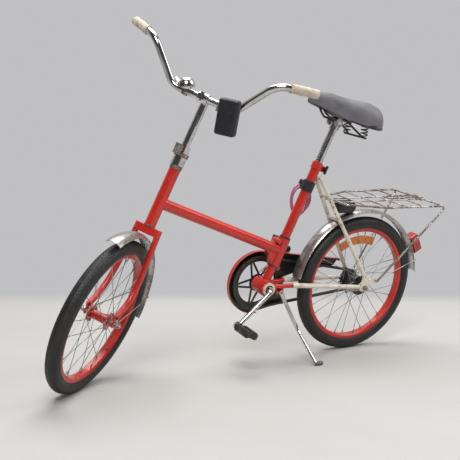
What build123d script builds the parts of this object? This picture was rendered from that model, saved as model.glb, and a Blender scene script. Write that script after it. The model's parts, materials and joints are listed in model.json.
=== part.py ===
from build123d import *
import math
import os

os.makedirs("parts", exist_ok=True)

# Folding small-wheel bicycle, millimetres, +Z up, +X forward, +Y to the rider's left.
# Every piece is drawn on the bicycle standing upright with its wheels straight, then set
# at rest: steered to the left and leaning to the left on its kickstand.

# ---------------------------------------------------------------- driving dimensions
WHEEL_RADIUS = 250.0
TYRE_WIDTH = 46.0
TYRE_WALL = 4.0
RIM_RADIUS = 210.5
RIM_WIDTH = 27.0
RIM_DEPTH = 14.0
RIM_WALL = 2.0
WHEELBASE = 1018.0
HEAD_ANGLE = 67.9
TRAIL = 29.0
FORK_RAKE = 67.4
SEAT_ANGLE = 68.7
LEAN = 10.5
STEER = 40.2

SPOKES_PER_SIDE = 14
SPOKE_RADIUS = 1.0
SPOKE_LEAD = 54.0

BB_HEIGHT = 272.0
BB_X = 399.0
BB_RADIUS = 28.5
BB_LENGTH = 66.0
BB_BORE = 23.0
SEAT_TUBE_RADIUS = 15.0
SEAT_TUBE_TOP = 458.0
UPPER_TUBE_RADIUS = 16.0
POST_RADIUS = 12.7
POST_CLEARANCE = 0.05
SLEEVE_LOW = 80.0
SLEEVE_HIGH = 178.0
SLEEVE_RADIUS = 20.5
SLEEVE_CLEARANCE = 0.06
MAIN_TUBE_RADIUS = 18.0
MAIN_TUBE_WALL = 1.8
MAIN_TUBE_RISE = 134.0

HEAD_LOW = 549.0
HEAD_HIGH = 735.0
HEAD_TUBE_RADIUS = 18.0
HEAD_TUBE_BORE = 15.5
STEERER_RADIUS = 14.3
STEM_RADIUS = 12.7
STEM_CLEARANCE = 0.05
CROWN_HEIGHT = 24.0
CROWN_WIDTH = 92.0
CROWN_DEPTH = 30.0
FORK_LEG_RADIUS = 9.5
FORK_HALF_WIDTH = 48.0
STEM_TOP = 962.0
STEM_REACH = 24.0
BAR_RADIUS = 11.1
BAR_WALL = 1.5
GRIP_LENGTH = 88.0
GRIP_WALL = 3.0

REAR_HALF_WIDTH = 57.0
DROPOUT_THICKNESS = 5.0
STAY_FRONT_RADIUS = 9.0
STAY_REAR_RADIUS = 7.0
AXLE_RADIUS = 4.8

CRANK_LENGTH = 165.0
CRANK_RADIUS = 8.0
CRANK_ANGLE = -39.0
CHAINLINE = 41.0
CHAIN_PITCH = 12.7
RING_TEETH = 46
SPROCKET_TEETH = 18
TOOTH_THICKNESS = 2.4
GUARD_RADIUS = 112.0
GUARD_OPENING = 76.0
GUARD_SHEET = 1.4
GUARD_PLANE = 53.0
GUARD_LIP = 14.0
PEDAL_LENGTH = 84.0
PEDAL_GAP = 8.0
PEDAL_THICKNESS = 24.0
LEFT_PEDAL_WIDTH = 42.0
RIGHT_PEDAL_WIDTH = 54.0

MUDGUARD_RADIUS = 277.0
MUDGUARD_WIDTH = 50.0
MUDGUARD_SHEET = 1.2
MUDGUARD_CROWN = 9.0

RACK_HEIGHT = 563.0
RACK_WIRE = 4.0
RACK_FRONT_HALF = 62.0
RACK_WAIST_HALF = 123.0
RACK_REAR_HALF = 132.0
RACK_TAPER = 140.0

SADDLE_LENGTH = 276.0
SADDLE_WIDTH = 196.0
SADDLE_NOSE_X = 300.0
SADDLE_TOP_Z = 932.0
POST_TOP = 598.0

STAND_FOOT_X = 255.0
STAND_FOOT_Y = 158.0
STAND_RADIUS = 6.5

FIT = 0.05    # radial clearance of a pin or shaft that turns or slides in its hole
GAP = 0.3     # gap between pieces that lie near each other

# ---------------------------------------------------------------- directions and points
X, Y, Z = Vector(1, 0, 0), Vector(0, 1, 0), Vector(0, 0, 1)


def in_plane(angle):
    """A direction in the bicycle's middle plane, at an angle above straight ahead."""
    return Vector(math.cos(math.radians(angle)), 0, math.sin(math.radians(angle)))


head_up = in_plane(180 - HEAD_ANGLE)
head_ahead = in_plane(90 - HEAD_ANGLE)
head_foot = Vector(WHEELBASE + TRAIL, 0, 0)
seat_up = in_plane(180 - SEAT_ANGLE)
seat_ahead = in_plane(90 - SEAT_ANGLE)
bottom_bracket = Vector(BB_X, 0, BB_HEIGHT)
rear_hub = Vector(0, 0, WHEEL_RADIUS)
front_hub = Vector(WHEELBASE, 0, WHEEL_RADIUS)


def on_head(up, ahead=0.0, left=0.0):
    """A point by its distance up the steering axis, ahead of it and to its left."""
    return head_foot + head_up * up + head_ahead * ahead + Y * left


def on_seat(up, ahead=0.0, left=0.0):
    """A point by its distance up the seat tube's axis, ahead of it and to its left."""
    return bottom_bracket + seat_up * up + seat_ahead * ahead + Y * left


def point(x, y, z):
    return Vector(x, y, z)


def mirrored(p):
    """The same place on the bicycle's other side."""
    return Vector(p.X, -p.Y, p.Z)


# ---------------------------------------------------------------- shape helpers
def rod(start, end, radius, bore=0.0):
    """A round bar, or a tube with a bore, from one point to another."""
    way = end - start
    plane = Plane(origin=start, z_dir=way)
    bar = Solid.make_cylinder(radius, way.length, plane)
    if bore:
        bar = bar - Solid.make_cylinder(bore, way.length, plane)
    return bar


def taper(start, end, r_start, r_end):
    """A round bar that narrows from one end to the other."""
    way = end - start
    return Solid.make_cone(r_start, r_end, way.length, Plane(origin=start, z_dir=way))


def bent(points, radii, radius, bore=0.0):
    """A tube along straight runs joined by round bends."""
    path = FilletPolyline(*points, radius=radii)
    plane = Plane(origin=path @ 0, z_dir=path % 0)
    tube = sweep(plane * Circle(radius), path=path)
    if bore:
        tube = tube - sweep(plane * Circle(bore), path=path)
    return tube


def block(centre, ahead, left, up, size, rounding=0.0):
    """A box of a given size (ahead, left, up) that is square to three directions."""
    plane = Plane(origin=centre, x_dir=ahead, z_dir=up)
    box = Box(*size)
    if rounding:
        box = fillet(box.edges(), rounding)
    return plane * box


def plate(outline, centre, thickness):
    """A flat plate in the bicycle's plane: an outline of (x, z) points, thick about y."""
    face = make_face(Polyline(*[(x, 0, z) for x, z in outline], close=True))
    return Pos(0, centre, 0) * extrude(face, thickness / 2, dir=(0, 1, 0), both=True)


def turned_ring(hub, profile):
    """A closed profile of (radius, left) points, spun about a wheel's axle."""
    face = make_face(Polyline(*profile, close=True))
    return Pos(hub.X, hub.Y, hub.Z) * revolve(face, Axis.Y)


def ball_ring(centre, axis, ring_radius, ball_radius, count):
    """Bearing balls, evenly spaced on a circle."""
    plane = Plane(origin=centre, z_dir=axis)
    return [
        plane * Pos(ring_radius * math.cos(a), ring_radius * math.sin(a), 0) * Sphere(ball_radius)
        for a in (2 * math.pi * i / count for i in range(count))
    ]


def nut(start, direction, across, height, bore):
    """A hexagon nut on a threaded end."""
    plane = Plane(origin=start, z_dir=direction)
    return extrude(plane * (RegularPolygon(across / 2, 6, major_radius=False) - Circle(bore)), height)


def both_sides(make):
    """A piece and its mirror image across the bicycle's middle plane."""
    piece = make()
    return [piece, mirror(piece, Plane.XZ)]


# ---------------------------------------------------------------- rest pose
def about(origin, direction, angle):
    """A turn by an angle about an axis through a point."""
    return Pos(*origin) * Location((0, 0, 0), tuple(direction), angle) * Pos(*(origin * -1))


def lowest(pose, hub):
    """Height of a tyre's lowest point, for a wheel whose axle lies along y before the pose."""
    centre = (pose * Pos(*hub)).position
    axle = ((pose * Pos(*(hub + Y))).position - centre).normalized()
    tyre = TYRE_WIDTH / 2
    return centre.Z - (WHEEL_RADIUS - tyre) * math.sqrt(1 - axle.Z ** 2) - tyre


steered = about(head_foot, head_up, STEER)
leaning = about(Vector(0, 0, 0), X, -LEAN)
for step in range(4):
    drop = lowest(leaning * steered, front_hub) - lowest(leaning, rear_hub)
    leaning = about(Vector(0, 0, 0), Y, math.degrees(drop / WHEELBASE)) * leaning
leaning = Pos(0, 0, -lowest(leaning, rear_hub)) * leaning


def height_at(x, y, z):
    return (leaning * Pos(x, y, z)).position.Z


STAND_TIP = 7.0
STAND_TOE = 20.0
slope = height_at(STAND_FOOT_X, STAND_FOOT_Y, 1) - height_at(STAND_FOOT_X, STAND_FOOT_Y, 0)
stand_z = (STAND_TIP - height_at(STAND_FOOT_X, STAND_FOOT_Y, 0)) / slope
stand_foot = point(STAND_FOOT_X, STAND_FOOT_Y, stand_z)

nodes = {}


def add(name, pieces, steers=False):
    """Keep a named piece, or a group of like pieces, at its place in the rest pose."""
    solids = []
    for piece in pieces if isinstance(pieces, (list, tuple)) else [pieces]:
        solids += list(piece.solids())
    pose = leaning * steered if steers else leaning
    nodes[name] = [pose * s for s in solids]


# ---------------------------------------------------------------- rear frame, fixed half
seat_bore = POST_RADIUS + POST_CLEARANCE
lower_tube = rod(on_seat(BB_RADIUS - 4), on_seat(SLEEVE_HIGH + 12), SEAT_TUBE_RADIUS)
upper_tube = rod(on_seat(SLEEVE_HIGH + 6), on_seat(SEAT_TUBE_TOP), UPPER_TUBE_RADIUS)
shell = rod(bottom_bracket - Y * BB_LENGTH / 2, bottom_bracket + Y * BB_LENGTH / 2, BB_RADIUS)
stub_joint = point(299, 29, 276)


def red_stub():
    return rod(point(BB_X - 16, 20, 275), stub_joint, STAY_FRONT_RADIUS - 1)


stand_top = point(346, 30, 256)
stand_bracket = block(point(350, 13, 264), X, Y, Z, (40, 20, 10))
stand_bracket = stand_bracket + block(point(346, 20, 257), X, Y, Z, (20, 6, 24))
stand_bracket = stand_bracket + rod(stand_top - Y * 8, stand_top + Y * 8, 4.0)
seat_tube = lower_tube + upper_tube + shell + red_stub() + mirror(red_stub(), Plane.XZ)
seat_tube = seat_tube + block(point(352, 0, 275), X, Y, Z, (10, 44, 12)) + stand_bracket
seat_tube = seat_tube - rod(on_seat(SLEEVE_HIGH - 60), on_seat(SEAT_TUBE_TOP + 1), seat_bore)
seat_tube = seat_tube - rod(
    bottom_bracket - Y * BB_LENGTH, bottom_bracket + Y * BB_LENGTH, BB_BORE)
seat_tube = seat_tube - block(on_seat(SEAT_TUBE_TOP - 12, -UPPER_TUBE_RADIUS), seat_ahead, Y,
                              seat_up, (14, 2.5, 40))
add("seat_tube", seat_tube)

add("thrust_rings", [
    rod(on_seat(SLEEVE_LOW - 5), on_seat(SLEEVE_LOW - 0.05), SLEEVE_RADIUS - 1,
        SEAT_TUBE_RADIUS + 0.02),
    rod(on_seat(SLEEVE_HIGH + 0.05), on_seat(SLEEVE_HIGH + 6), SLEEVE_RADIUS - 1,
        SEAT_TUBE_RADIUS + 0.02),
])

stay_end = point(22, REAR_HALF_WIDTH, 256)
seat_stay_low = point(8, REAR_HALF_WIDTH, 296)
seat_stay_high = on_seat(SEAT_TUBE_TOP - 42, -UPPER_TUBE_RADIUS - 3, 15)


def chain_stay():
    return taper(stub_joint, stay_end, STAY_FRONT_RADIUS, STAY_REAR_RADIUS)


def seat_stay():
    return rod(seat_stay_low, seat_stay_high, STAY_REAR_RADIUS)


def dropout():
    outline = [(26, 246), (26, 264), (16, 274), (14, 300), (2, 300), (-8, 278), (-38, 284),
               (-50, 280), (-50, 268), (-30, 260), (-14, 250), (-14, 238), (14, 238)]
    sheet = plate(outline, REAR_HALF_WIDTH, DROPOUT_THICKNESS)
    axle = rear_hub + Y * (REAR_HALF_WIDTH - 10)
    sheet = sheet - rod(axle, axle + Y * 20, AXLE_RADIUS + 0.2)
    eyelet = point(-43, REAR_HALF_WIDTH - 10, 274)
    return sheet - rod(eyelet, eyelet + Y * 20, 2.7)


def on_seat_stay(height):
    """The point of the left seat stay's axis at a given height."""
    run = seat_stay_high - seat_stay_low
    return seat_stay_low + run * ((height - seat_stay_low.Z) / run.Z)


def stay_bridge(height):
    """A crosswise tube between the two seat stays."""
    side = on_seat_stay(height)
    return rod(mirrored(side) + Y * 2, side - Y * 2, BRIDGE_RADIUS)


# The lower bridge rests on top of the rear mudguard and carries it.
BRIDGE_RADIUS = 5.0
stay_way = (seat_stay_high - seat_stay_low)
stay_way = Vector(stay_way.X, 0, stay_way.Z).normalized()
from_hub = Vector(seat_stay_low.X, 0, seat_stay_low.Z) - rear_hub
clear_of_guard = MUDGUARD_RADIUS + BRIDGE_RADIUS + 0.05
nearest = from_hub.dot(stay_way)
along = -nearest + math.sqrt(nearest ** 2 - from_hub.dot(from_hub) + clear_of_guard ** 2)
bridge_height = seat_stay_low.Z + stay_way.Z * along


add("chain_stays", both_sides(lambda: (chain_stay() - red_stub()) + dropout()))
add("seat_stays", [
    (seat_stay() - dropout()) + mirror(seat_stay() - dropout(), Plane.XZ)
    + stay_bridge(bridge_height) + stay_bridge(seat_stay_high.Z - 10)])

# ---------------------------------------------------------------- bottom bracket and crank
cup_depth = 9.0


def bearing_cup():
    edge = bottom_bracket + Y * BB_LENGTH / 2
    cup = rod(edge - Y * cup_depth, edge, BB_BORE - 0.02, 18.0)
    flange = rod(edge, edge + Y * 5, BB_BORE - 0.5, 15.5)
    return cup + flange


add("bearing_cups", both_sides(bearing_cup) + ball_ring(bottom_bracket + Y * (BB_LENGTH / 2 - 6), Y, 14.6, 3.15, 9)
    + ball_ring(bottom_bracket - Y * (BB_LENGTH / 2 - 6), Y, 14.6, 3.15, 9))

crank_way = in_plane(CRANK_ANGLE)
left_eye = bottom_bracket + crank_way * CRANK_LENGTH + Y * 66
right_eye = bottom_bracket - crank_way * CRANK_LENGTH - Y * 70
left_elbow = bottom_bracket + Y * 53
right_elbow = bottom_bracket - Y * 64
crank = bent([right_eye, right_elbow, left_elbow, left_eye], [16, 16], CRANK_RADIUS)
for eye in (left_eye, right_eye):
    crank = crank + rod(eye - Y * 8, eye + Y * 8, 13)
    crank = crank - rod(eye - Y * 9, eye + Y * 9, 6.3)
crank = crank + rod(bottom_bracket + Y * (BB_LENGTH / 2 - 7.5), bottom_bracket + Y * 41, 11.3)
crank = crank + rod(bottom_bracket - Y * (CHAINLINE - 2), bottom_bracket - Y * (BB_LENGTH / 2 - 7.5),
                    11.3)
add("crank", crank)


def pitch_radius(teeth):
    return CHAIN_PITCH / (2 * math.sin(math.pi / teeth))


def toothed_disc(centre, teeth, bore):
    """A chain wheel with rounded teeth: its rim circle cut by a roller at each tooth gap."""
    pitch = pitch_radius(teeth)
    plane = Plane(origin=centre, x_dir=X, z_dir=Y)
    disc = Circle(pitch + 4.0) - Circle(bore)
    disc = disc - PolarLocations(pitch, teeth) * Circle(4.2)
    gap_edge = PolarLocations(pitch + 4.6, teeth) * Circle(4.6)
    return extrude(plane * (disc - gap_edge), TOOTH_THICKNESS / 2, both=True)


ring_centre = bottom_bracket - Y * CHAINLINE
ring_pitch = pitch_radius(RING_TEETH)
chainring = toothed_disc(ring_centre, RING_TEETH, ring_pitch - 17)
ring_plane = Plane(origin=ring_centre, x_dir=crank_way, z_dir=Y)
ARMS = 5
arm_sketch = Circle(31) - Circle(CRANK_RADIUS + 0.05)
for i in range(ARMS):
    tip = 2 * math.pi * (i + 0.5) / ARMS
    for lean_way in (-1, 1):
        root = tip + lean_way * math.radians(34)
        start = Vector(27 * math.cos(root), 27 * math.sin(root))
        end = Vector((ring_pitch - 14) * math.cos(tip + lean_way * 0.05),
                     (ring_pitch - 14) * math.sin(tip + lean_way * 0.05))
        way = end - start
        arm = Pos(*((start + end) / 2)) * Rot(0, 0, math.degrees(math.atan2(way.Y, way.X)))
        arm_sketch = arm_sketch + arm * Rectangle(way.length, 7)
chainring = chainring + extrude(ring_plane * arm_sketch, TOOTH_THICKNESS / 2, both=True)
dog_pin = bottom_bracket - crank_way * 22 - Y * (CHAINLINE + TOOTH_THICKNESS / 2)
chainring = chainring + rod(dog_pin, dog_pin - Y * 13, 3.2)
add("chainring", chainring)

sprocket_centre = rear_hub - Y * CHAINLINE
CONE_RADIUS = 11.5
sprocket = toothed_disc(sprocket_centre, SPROCKET_TEETH, CONE_RADIUS + FIT)
add("rear_sprocket", sprocket + rod(sprocket_centre - Y * 3, sprocket_centre + Y * 6.5, 21,
                                    CONE_RADIUS + FIT))

# The chain's side plates run beside the teeth; its rollers lie on the two free runs.
sprocket_pitch = pitch_radius(SPROCKET_TEETH)
span = ring_centre - sprocket_centre
span_angle = math.atan2(span.Z, span.X)
open_angle = math.asin((ring_pitch - sprocket_pitch) / span.length)


def chain_outline(offset):
    """The chain's closed path around both chain wheels, moved outwards by an offset."""
    big, small = ring_pitch + offset, sprocket_pitch + offset
    corners = []
    for side in (1, -1):
        way = span_angle + side * (math.pi / 2 + open_angle)
        normal = Vector(math.cos(way), 0, math.sin(way))
        corners.append((rear_hub + normal * small, bottom_bracket + normal * big))
    (low_a, high_a), (low_b, high_b) = corners
    back = rear_hub - Vector(math.cos(span_angle), 0, math.sin(span_angle)) * small
    front = bottom_bracket + Vector(math.cos(span_angle), 0, math.sin(span_angle)) * big
    wire = Wire([
        Edge.make_line(low_a, high_a), Edge.make_three_point_arc(high_a, front, high_b),
        Edge.make_line(high_b, low_b), Edge.make_three_point_arc(low_b, back, low_a)])
    return wire, corners


def chain_band(middle, thickness):
    outer, inner = chain_outline(4.2)[0], chain_outline(-4.2)[0]
    band = Face(outer) - Face(inner)
    return Pos(0, middle, 0) * extrude(band, thickness / 2, dir=(0, 1, 0), both=True)


ROLLER_START = 27.0
chain = [chain_band(-CHAINLINE + 3.2, 2.2), chain_band(-CHAINLINE - 3.2, 2.2)]
for low, high in chain_outline(0.0)[1]:
    run = high - low
    rollers = int((run.length - 2 * ROLLER_START) // CHAIN_PITCH)
    for i in range(rollers):
        middle = low + run * ((ROLLER_START + CHAIN_PITCH * (i + 0.5)) / run.length)
        chain.append(rod(middle - Y * (CHAINLINE + 2.1), middle - Y * (CHAINLINE - 2.1), 3.9))
add("chain", chain)

# ---------------------------------------------------------------- chain guard
guard_tail = point(47, 0, 333)
tail_way = guard_tail - bottom_bracket
tail_angle = math.atan2(tail_way.Z, tail_way.X) - math.acos(GUARD_RADIUS / tail_way.length)
tangent = (BB_X + GUARD_RADIUS * math.cos(tail_angle), BB_HEIGHT + GUARD_RADIUS * math.sin(tail_angle))


def guard_face(inset):
    disc = Circle(GUARD_RADIUS - inset)
    tail = [(tangent[0] - BB_X, tangent[1] - BB_HEIGHT - inset),
            (guard_tail.X - BB_X + inset, guard_tail.Z - BB_HEIGHT - inset),
            (66 - BB_X + inset, 306 - BB_HEIGHT + inset),
            (236 - BB_X, 291 - BB_HEIGHT + inset), (286 - BB_X, 278 - BB_HEIGHT + inset),
            (262 - BB_X + inset, 184 - BB_HEIGHT + inset),
            (392 - BB_X, BB_HEIGHT - GUARD_RADIUS - BB_HEIGHT + inset), (0, 0)]
    return disc + make_face(Polyline(*tail, close=True))


guard_plane = Plane(origin=bottom_bracket - Y * GUARD_PLANE, x_dir=X, z_dir=(0, -1, 0))
guard = extrude(guard_plane * (guard_face(0) - Circle(GUARD_OPENING)), GUARD_SHEET)
lip = extrude(guard_plane * (guard_face(0) - guard_face(GUARD_SHEET)), -GUARD_LIP)
keep_lip = Pos(BB_X - 60, -GUARD_PLANE, guard_tail.Z + 80) * Box(900, 80, 176)
keep_lip = keep_lip + Pos(BB_X + 120, -GUARD_PLANE, BB_HEIGHT) * Box(260, 80, 300)
guard = guard + (lip & keep_lip)
guard_boss = point(BB_X - GUARD_RADIUS + 3, -GUARD_PLANE, 275.4)
guard = guard + (rod(guard_boss, guard_boss + Y * 15, 4) - mirror(chain_stay(), Plane.XZ))
add("chain_guard", guard)


# ---------------------------------------------------------------- pedals
def pedal(eye, side, width, turn):
    """Axle, end plates and rubber blocks of one pedal; side is 1 on the left, -1 on the right."""
    out = Y * side
    inner, outer = eye + out * PEDAL_GAP, eye + out * (PEDAL_GAP + PEDAL_LENGTH)
    axle = rod(eye - out * 7.5, eye + out * 7.5, 6.25) + rod(eye + out * 7.5, outer + out * 1, 5.0)
    way = in_plane(turn)
    across = way.cross(Y)
    barrel = rod(inner + out * 2, outer - out * 2, 9.0, 5.0 + FIT)
    frame = barrel
    for end in (inner + out * 3.5, outer - out * 3.5):
        end_plate = block(end, way, Y, across, (width, 3.0, 16.0))
        frame = frame + (end_plate - rod(end - Y * 5, end + Y * 5, 5.0 + FIT))
        for shift in (-width / 2 + 8, width / 2 - 8):
            face = end + way * shift
            frame = frame + rod(face - Y * 2.6, face + Y * 2.6, 2.8)
    middle = (inner + outer) / 2
    rubbers = []
    for shift in (-1, 1):
        centre = middle + way * shift * (width / 4 + 5.4)
        rubber = block(centre, way, Y, across,
                       (width / 2 - 10.2, PEDAL_LENGTH - 13, PEDAL_THICKNESS), 2.0)
        rubbers.append(rubber)
    return axle, frame, rubbers


left_axle, left_cage, left_rubbers = pedal(left_eye, 1, LEFT_PEDAL_WIDTH, 20)
right_axle, right_cage, right_rubbers = pedal(right_eye, -1, RIGHT_PEDAL_WIDTH, 107)
add("pedal_axles", [left_axle, right_axle])
add("left_pedal_cage", left_cage)
add("left_pedal_rubbers", left_rubbers)
add("right_pedal_cage", right_cage)
add("right_pedal_rubbers", right_rubbers)


# ---------------------------------------------------------------- wheels
def rim(hub):
    half, top, low = RIM_WIDTH / 2, RIM_RADIUS, RIM_RADIUS - RIM_DEPTH
    return turned_ring(hub, [
        (top, half), (low + 4, half), (low, half - 4), (low, -half + 4), (low + 4, -half),
        (top, -half), (top, -half + RIM_WALL), (low + 6, -half + RIM_WALL),
        (low + 3, -half + 6), (low + 3, half - 6), (low + 6, half - RIM_WALL),
        (top, half - RIM_WALL)])


def tyre(hub):
    """A tyre's section is a round casing with two beads that sit inside the rim."""
    core = WHEEL_RADIUS - TYRE_WIDTH / 2
    section = Circle(TYRE_WIDTH / 2) - Circle(TYRE_WIDTH / 2 - TYRE_WALL)
    cut = RIM_RADIUS + 0.3 - core
    section = section - Pos(cut - 50, 0) * Rectangle(100, 100)
    inner = RIM_WIDTH / 2 - RIM_WALL - 0.3
    bead = Rectangle(cut + 15.0, 3.4)
    for side in (-1, 1):
        section = section + Pos(cut - (cut + 15.0) / 2 + 4, side * (inner - 1.7)) * bead
        wall = Rectangle(TYRE_WALL, TYRE_WIDTH / 2 - inner + 3)
        section = section + Pos(cut + TYRE_WALL / 2, side * (inner + 1.0)) * wall
    section = section - (Rectangle(200, 200) - Circle(TYRE_WIDTH / 2)
                         - Pos(cut - 50, 0) * Rectangle(100, 2 * inner))
    bead_foot = RIM_RADIUS - RIM_DEPTH + 6.3 - core
    section = section - Pos(bead_foot - 50, 0) * Rectangle(100, 100)
    return Pos(hub.X, hub.Y, hub.Z) * revolve(Pos(core, 0) * section, Axis.Y)


def wheel_hub(hub, flange_radius, flange_left, barrel_radius, bore):
    """A hub shell with two drilled flanges."""
    shell = rod(hub - Y * (flange_left + 4), hub + Y * (flange_left + 4), barrel_radius)
    for side in (-1, 1):
        face = hub + Y * side * flange_left
        shell = shell + rod(face - Y * 1.5, face + Y * 1.5, flange_radius)
    return shell - rod(hub - Y * 80, hub + Y * 80, bore)


def wheel_spokes(hub, flange_radius, flange_left):
    """Crossed spokes: each leaves its flange at a slant and ends in a nipple at the rim."""
    pieces = []
    seat = RIM_RADIUS - RIM_DEPTH - 0.45
    for side in (-1, 1):
        for i in range(SPOKES_PER_SIDE):
            at_rim = math.radians(360 * (i + (0.25 if side > 0 else 0.75)) / SPOKES_PER_SIDE)
            lead = math.radians(SPOKE_LEAD) * (1 if i % 2 else -1)
            face = 1 if i % 2 else -1
            depth = side * (flange_left + face * (1.5 + SPOKE_RADIUS + 0.8))
            start = hub + Vector(math.cos(at_rim + lead), 0, math.sin(at_rim + lead)) * (
                flange_radius - 3) + Y * depth
            end = hub + Vector(math.cos(at_rim), 0, math.sin(at_rim)) * seat + Y * side * 4.0
            way = (end - start).normalized()
            neck = end - way * 12
            pieces.append(rod(start, neck, SPOKE_RADIUS) + rod(neck, end, 2.0)
                          + rod(start - Y * side * face * (SPOKE_RADIUS + 0.7),
                                start + Y * side * face * SPOKE_RADIUS, 1.9))
    return pieces


rear_flange, rear_flange_left = 36.0, 29.0
front_flange, front_flange_left = 27.0, 30.0
add("rear_hub", wheel_hub(rear_hub, rear_flange, rear_flange_left, 27.0, CONE_RADIUS + 0.3))
add("front_hub", wheel_hub(front_hub, front_flange, front_flange_left, 14.0, 7.8), True)
add("rear_spokes", wheel_spokes(rear_hub, rear_flange, rear_flange_left))
add("front_spokes", wheel_spokes(front_hub, front_flange, front_flange_left), True)
add("rear_rim", rim(rear_hub))
add("front_rim", rim(front_hub), True)


def valve(hub, angle):
    way = in_plane(angle)
    start = hub + way * (RIM_RADIUS - RIM_DEPTH - 0.1)
    return rod(start, start - way * 24, 3.8) + rod(start - way * 24, start - way * 30, 2.6)


def spoke_reflector(hub, angle):
    """A curved amber plate held among the left spokes, just inside the rim, by two screws."""
    arc = 2 * math.degrees(math.asin(REFLECTOR_LENGTH / 2 / 165))
    plane = Plane(origin=hub + Y, x_dir=in_plane(angle), z_dir=(0, -1, 0))
    ring = Circle(180) - Circle(150)
    wedge = make_face(Polyline((0, 0), (300, -300 * math.tan(math.radians(arc / 2))),
                               (300, 300 * math.tan(math.radians(arc / 2))), close=True))
    amber = extrude(plane * (ring & wedge), -4.0)
    for turn in (-arc / 4, arc / 4):
        screw = hub + in_plane(angle + turn) * 165
        amber = amber + rod(screw + Y * 4, screw + Y * 9, 3.2)
    return amber


spoke_gap = 360 / (2 * SPOKES_PER_SIDE)
REFLECTOR_LENGTH = 150.0
add("rear_tyre", [tyre(rear_hub), valve(rear_hub, spoke_gap * 20)])
add("front_tyre", [tyre(front_hub), valve(front_hub, spoke_gap * 16)], True)
add("spoke_reflector", spoke_reflector(rear_hub, 90 - spoke_gap / 2))

# Axles are threaded bars with cones, washers and nuts.
rear_axle_half = REAR_HALF_WIDTH + 19
rear_axle = rod(rear_hub - Y * rear_axle_half, rear_hub + Y * rear_axle_half, AXLE_RADIUS)
rear_parts = [rear_axle]
for side in (-1, 1):
    outside = rear_hub + Y * side * (REAR_HALF_WIDTH + DROPOUT_THICKNESS / 2)
    rear_parts.append(rod(outside, outside + Y * side * 1.6, 10.0, AXLE_RADIUS + 0.01))
    rear_parts.append(nut(outside + Y * side * 1.6, Y * side, 15.0, 8.0, AXLE_RADIUS + 0.01))
    cone_end = rear_hub + Y * side * (REAR_HALF_WIDTH - DROPOUT_THICKNESS / 2)
    inner_end = rear_hub + Y * side * 30
    rear_parts.append(rod(inner_end, cone_end, CONE_RADIUS, AXLE_RADIUS + 0.01))
add("rear_axle", rear_parts)

arm_y = REAR_HALF_WIDTH - 10.6
arm_tip = point(70, arm_y, 240)
brake_arm = rod(rear_hub + Y * (arm_y - 2), rear_hub + Y * (arm_y + 2), 17)
brake_arm = brake_arm + block((rear_hub + arm_tip + Y * arm_y) / 2, (arm_tip - rear_hub
                              - Y * arm_y).normalized(), Y, Z, (78, 4, 16))
brake_arm = brake_arm + rod(arm_tip - Y * 2, arm_tip + Y * 2, 8)
brake_arm = brake_arm - rod(rear_hub, rear_hub + Y * 80, CONE_RADIUS + 0.02)
add("brake_arm", brake_arm)

# ---------------------------------------------------------------- mudguards
def mudguard(hub, start_angle, end_angle, lift=0.0):
    """A thin crowned strip bent around a wheel; its section is an arch."""
    half = MUDGUARD_WIDTH / 2
    top, edge = MUDGUARD_RADIUS, MUDGUARD_RADIUS - MUDGUARD_CROWN
    arch = [Edge.make_three_point_arc((edge, -half, 0), (top, 0, 0), (edge, half, 0))]
    under = [Edge.make_three_point_arc((edge - MUDGUARD_SHEET, half - 0.4, 0),
                                       (top - MUDGUARD_SHEET, 0, 0),
                                       (edge - MUDGUARD_SHEET, -half + 0.4, 0))]
    join = [Edge.make_line((edge, half, 0), (edge - MUDGUARD_SHEET, half - 0.4, 0)),
            Edge.make_line((edge - MUDGUARD_SHEET, -half + 0.4, 0), (edge, -half, 0))]
    face = Face(Wire(arch + [join[0]] + under + [join[1]]))
    sweep_angle = end_angle - start_angle
    strip = revolve(face, Axis.Y, -sweep_angle)
    return Pos(hub.X, hub.Y, hub.Z) * Rot(0, -start_angle, 0) * strip


def guard_point(hub, angle, left, inside=0.0):
    return hub + in_plane(angle) * (MUDGUARD_RADIUS - MUDGUARD_CROWN - inside) + Y * left


rear_eyelet = point(-43, REAR_HALF_WIDTH + DROPOUT_THICKNESS / 2 + 1.5, 274)


def rear_guard_stay():
    """A wire from the dropout's eyelet to the mudguard's edge."""
    top = guard_point(rear_hub, 163, MUDGUARD_WIDTH / 2 + 1.8, -1)
    foot = rear_eyelet + Y * 1.6
    wire = rod(foot, top, 1.8) + Pos(*top) * Sphere(2.4) + Pos(*foot) * Sphere(2.4)
    return wire + rod(rear_eyelet - Y * 7, rear_eyelet + Y * 13, 2.5)


add("rear_mudguard", [mudguard(rear_hub, 9, 174)] + both_sides(rear_guard_stay))

axle_stop = FORK_HALF_WIDTH + 2.5 + 2.4


def front_guard_stay():
    foot = front_hub + Y * (axle_stop + 2.4)
    top = guard_point(front_hub, 186, MUDGUARD_WIDTH / 2 + 1.8, -1)
    wire = rod(foot, top, 1.6) + Pos(*top) * Sphere(2.4)
    eye = rod(foot - Y * 2.3, foot + Y * 1.6, 9.0, AXLE_RADIUS + 0.1)
    return eye + (wire - rod(foot - Y * 5, foot + Y * 5, AXLE_RADIUS + 0.1))


add("front_mudguard", [mudguard(front_hub, 81, 203)] + both_sides(front_guard_stay), True)

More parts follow.
